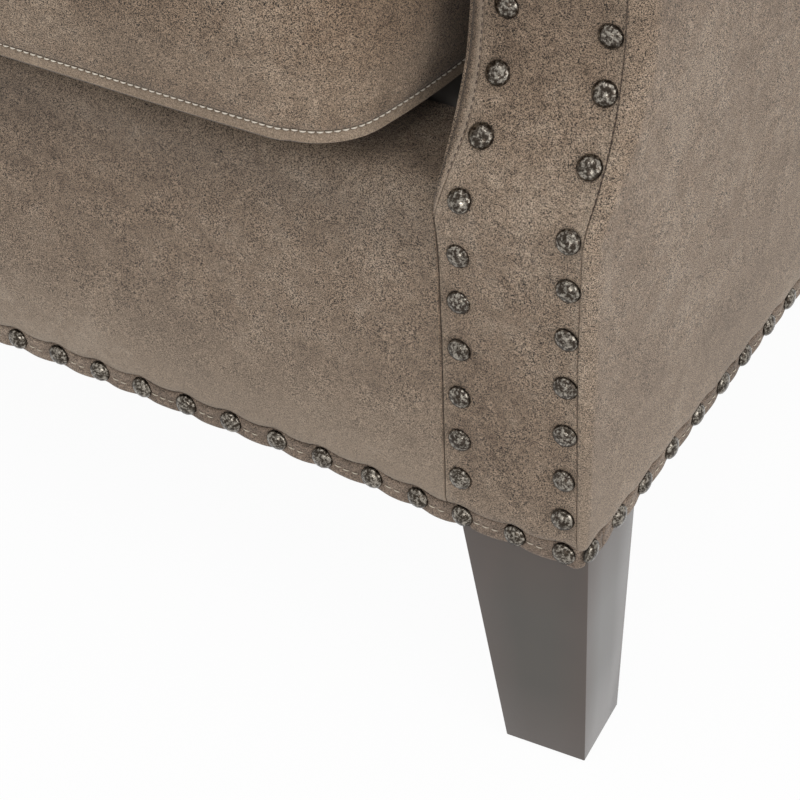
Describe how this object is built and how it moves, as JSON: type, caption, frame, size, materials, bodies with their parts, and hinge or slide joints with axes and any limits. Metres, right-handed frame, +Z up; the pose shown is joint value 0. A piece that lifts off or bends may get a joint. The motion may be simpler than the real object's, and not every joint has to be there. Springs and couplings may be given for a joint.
{
  "type": "wingback armchair",
  "caption": "Wingback armchair with rolled arms, nail-trimmed arm fronts and base band, square tapered legs and a loose box seat cushion.",
  "frame": {"origin": "on the floor, under the middle of the chair's bounding box", "axes": "+X to the viewer's right when facing the chair, +Y from the front towards the back, +Z up"},
  "size_m": [0.7926, 0.8298, 1.0526],
  "materials": {
    "cover": "matte",
    "band": "matte",
    "leg_wood": "satin",
    "frame_wood": "matte",
    "steel": "satin",
    "nail_metal": "satin",
    "glide_plastic": "matte",
    "webbing": "matte",
    "deck_cloth": "matte",
    "dust_cloth": "matte",
    "foam": "matte"
  },
  "bodies": {
    "chair_body": {"leg_front_right": "leg_wood", "leg_front_left": "leg_wood", "leg_rear_right": "leg_wood", "leg_rear_left": "leg_wood", "glide_front_right": "glide_plastic", "glide_front_left": "glide_plastic", "glide_rear_right": "glide_plastic", "glide_rear_left": "glide_plastic", "hanger_bolt_front_right": "steel", "hanger_bolt_front_left": "steel", "hanger_bolt_rear_right": "steel", "hanger_bolt_rear_left": "steel", "threaded_insert_front_right": "steel", "threaded_insert_front_left": "steel", "threaded_insert_rear_right": "steel", "threaded_insert_rear_left": "steel", "arm_post_right": "frame_wood", "arm_post_left": "frame_wood", "back_post_right": "frame_wood", "back_post_left": "frame_wood", "side_rail_right": "frame_wood", "side_rail_left": "frame_wood", "arm_rail_right": "frame_wood", "arm_rail_left": "frame_wood", "front_rail": "frame_wood", "rear_rail": "frame_wood", "lower_back_rail": "frame_wood", "crest_rail": "frame_wood", "corner_block_front_right": "frame_wood", "corner_block_front_left": "frame_wood", "corner_block_rear_right": "frame_wood", "corner_block_rear_left": "frame_wood", "wing_board_right": "frame_wood", "wing_board_left": "frame_wood", "seat_spring_1": "steel", "seat_spring_2": "steel", "seat_spring_3": "steel", "seat_spring_4": "steel", "back_webbing": "webbing", "seat_deck": "deck_cloth", "front_border": "cover", "arm_front_panel_right": "cover", "arm_front_panel_left": "cover", "outside_arm_panel_right": "cover", "outside_arm_panel_left": "cover", "arm_cover_right": "cover", "arm_cover_left": "cover", "wing_cover_right": "cover", "wing_cover_left": "cover", "inside_back": "cover", "outside_back": "cover", "base_band_front": "band", "base_band_right": "band", "base_band_left": "band", "base_band_rear": "band", "dust_sheet": "dust_cloth"},
    "seat_cushion": {"cushion_core": "foam", "cushion_cover": "cover", "zip_tape": "webbing"},
    "zip_puller": {"zip_slider": "nail_metal"}
  },
  "joints": [
    {"name": "cushion_lift", "type": "slide", "parent": "chair_body", "child": "seat_cushion", "axis": [0, 0, 1], "range_m": [0, 0.25]},
    {"name": "zip_slide", "type": "slide", "parent": "seat_cushion", "child": "zip_puller", "axis": [1, 0, 0], "range_m": [0, 0.388]}
  ]
}
